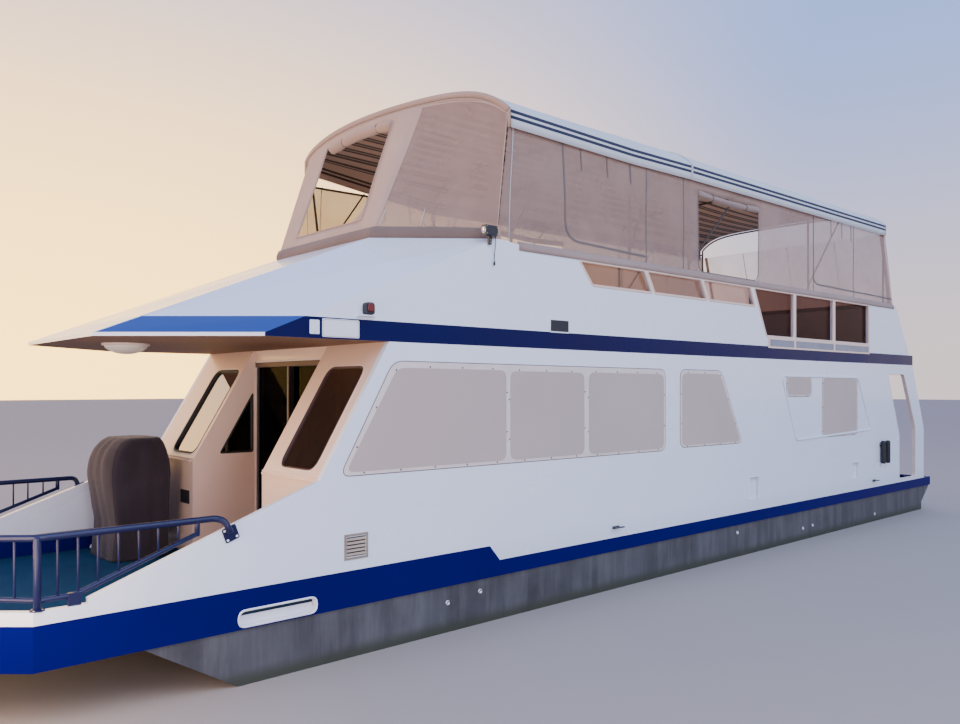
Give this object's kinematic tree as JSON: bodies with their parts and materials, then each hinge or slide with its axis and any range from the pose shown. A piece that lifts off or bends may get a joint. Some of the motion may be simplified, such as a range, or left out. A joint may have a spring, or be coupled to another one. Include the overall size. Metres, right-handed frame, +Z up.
{
  "type": "houseboat",
  "caption": "Flat-bottomed cabin houseboat with a faceted visor roof, a canopied upper deck with curtains, railed foredeck, sliding and hinged doors, and steerable stern drives.",
  "frame": {"origin": "on the centreline, amidships, at the waterline", "axes": "+X towards the bow, +Y to port, +Z up"},
  "size_m": [16.3, 3.8283, 6],
  "materials": {
    "hull_metal": "streaked matt",
    "navy_paint": "gloss",
    "white_paint": "semi-gloss",
    "deck_carpet": "matt",
    "deck_panel": "non-slip",
    "window_cover": "matt mesh",
    "tinted_glass": "polished",
    "dark_frame": "satin",
    "canopy_cloth": "matt",
    "polished_tube": "polished",
    "curtain_mesh": "matt mesh",
    "navy_tube": "gloss",
    "cover_cloth": "matt",
    "black_rubber": "satin",
    "engine_paint": "satin",
    "drive_paint": "satin",
    "propeller_metal": "satin",
    "seat_vinyl": "satin",
    "lamp_glass": "gloss"
  },
  "bodies": {
    "boat": {"hull": "hull_metal", "gunwale_band": "navy_paint", "bulwark_port": "white_paint", "bulwark_starboard": "white_paint", "foredeck": "deck_carpet", "main_deck": "deck_panel", "side_wall_port": "white_paint", "side_wall_starboard": "white_paint", "porch_wall_port": "white_paint", "porch_wall_starboard": "white_paint", "side_windows_port": "window_cover", "side_windows_starboard": "window_cover", "front_quarter_port": "white_paint", "front_quarter_starboard": "white_paint", "front_glass_port": "tinted_glass", "front_glass_starboard": "tinted_glass", "front_bulkhead": "white_paint", "door_fixed_leaf": "dark_frame", "aft_bulkhead": "white_paint", "roof": "white_paint", "fairing": "white_paint", "upper_wall_port": "white_paint", "upper_wall_starboard": "white_paint", "upper_glass_port": "tinted_glass", "upper_glass_starboard": "tinted_glass", "upper_aft_wall": "white_paint", "canopy_top": "canopy_cloth", "canopy_frame": "polished_tube", "curtain_port": "curtain_mesh", "curtain_starboard": "curtain_mesh", "curtain_aft": "curtain_mesh", "curtain_front": "curtain_mesh", "bow_rail_port": "navy_tube", "bow_rail_starboard": "navy_tube", "grill_cover": "cover_cloth", "stern_bumpers": "black_rubber", "engines": "engine_paint", "transom_bracket_port": "drive_paint", "transom_bracket_starboard": "drive_paint", "aft_ladder": "polished_tube", "upper_helm": "white_paint", "helm_bench": "seat_vinyl", "visor_lamp": "lamp_glass", "spotlight": "black_rubber", "spotlight_cord": "black_rubber", "spotlight_plug": "black_rubber"},
    "front_door": {"door_sliding_leaf": "dark_frame"},
    "aft_door": {"aft_door": "white_paint"},
    "bow_gate": {"bow_gate": "navy_tube"},
    "engine_hatch": {"engine_hatch": "deck_panel"},
    "helm_wheel": {"helm_wheel": "black_rubber"},
    "drive_port": {"stern_drive_port": "drive_paint"},
    "propeller_port": {"propeller_port": "propeller_metal"},
    "drive_starboard": {"stern_drive_starboard": "drive_paint"},
    "propeller_starboard": {"propeller_starboard": "propeller_metal"}
  },
  "joints": [
    {"name": "front_door_slide", "type": "slide", "parent": "boat", "child": "front_door", "axis": [0, -1, 0], "range_m": [0, 0.62]},
    {"name": "aft_door_swing", "type": "hinge", "parent": "boat", "child": "aft_door", "pos_m": [-6.06, -1.25, 1.5], "axis": [0, 0, 1], "range_deg": [0, 100]},
    {"name": "bow_gate_swing", "type": "hinge", "parent": "boat", "child": "bow_gate", "pos_m": [8.02, 0.45, 1.1], "axis": [0, 0, 1], "range_deg": [-100, 0]},
    {"name": "hatch_lift", "type": "hinge", "parent": "boat", "child": "engine_hatch", "pos_m": [-6.55, 0, 0.531], "axis": [0, 1, 0], "range_deg": [0, 85]},
    {"name": "helm_turn", "type": "hinge", "parent": "boat", "child": "helm_wheel", "pos_m": [2.77, -0.62, 3.64], "axis": [-0.9004, 0, 0.435], "range_deg": [-450, 450]},
    {"name": "steer_port", "type": "hinge", "parent": "boat", "child": "drive_port", "pos_m": [-7.85, 0.56, -0.1125], "axis": [0, 0, 1], "range_deg": [-28, 28]},
    {"name": "spin_port", "type": "hinge", "parent": "drive_port", "child": "propeller_port", "pos_m": [-8.13, 0.56, -0.48], "axis": [1, 0, 0], "continuous": true},
    {"name": "steer_starboard", "type": "hinge", "parent": "boat", "child": "drive_starboard", "pos_m": [-7.85, -0.56, -0.1125], "axis": [0, 0, 1], "range_deg": [-28, 28]},
    {"name": "spin_starboard", "type": "hinge", "parent": "drive_starboard", "child": "propeller_starboard", "pos_m": [-8.13, -0.56, -0.48], "axis": [1, 0, 0], "continuous": true}
  ],
  "couplings": [
    {"joint": "steer_starboard", "follows": "steer_port", "ratio": 1}
  ]
}
